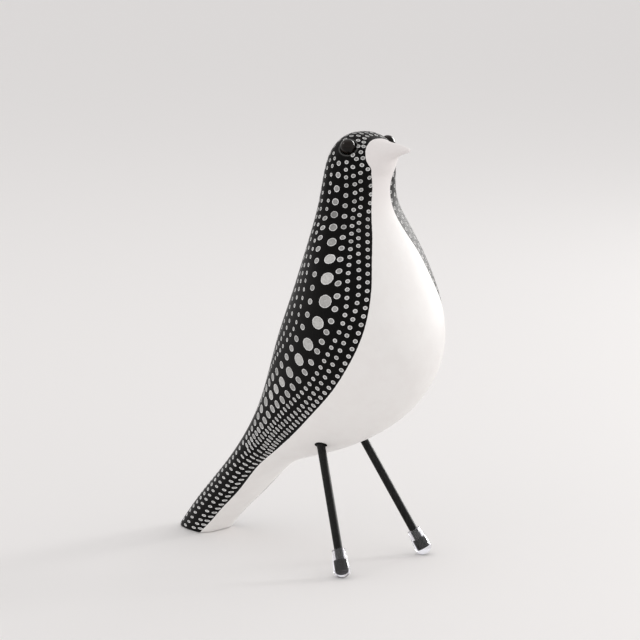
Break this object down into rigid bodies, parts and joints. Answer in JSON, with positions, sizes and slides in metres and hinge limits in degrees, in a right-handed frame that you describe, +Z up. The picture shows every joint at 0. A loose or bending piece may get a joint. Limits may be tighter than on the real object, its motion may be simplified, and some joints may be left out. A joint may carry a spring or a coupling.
{
  "type": "resin bird sculpture",
  "caption": "Stylised song bird ornament in cast resin, black with rows of light dots above and white below, standing on rod legs with clear plastic feet and on its tail.",
  "frame": {"origin": "on the floor, under the middle of the bird's outline box", "axes": "+X towards the beak, +Y to the bird's left, +Z up"},
  "size_m": [0.2133, 0.0964, 0.276],
  "materials": {
    "painted_resin": "satin black paint with light dots, satin white paint on the face, breast and underside",
    "black_bead": "glossy black",
    "lacquered_rod": "satin black lacquer",
    "clear_plastic": "clear moulded plastic"
  },
  "bodies": {
    "root": {"body": "painted_resin", "eye_left": "black_bead", "eye_right": "black_bead", "leg_left": "lacquered_rod", "leg_right": "lacquered_rod", "foot_cap_left": "clear_plastic", "foot_cap_right": "clear_plastic"}
  },
  "joints": []
}
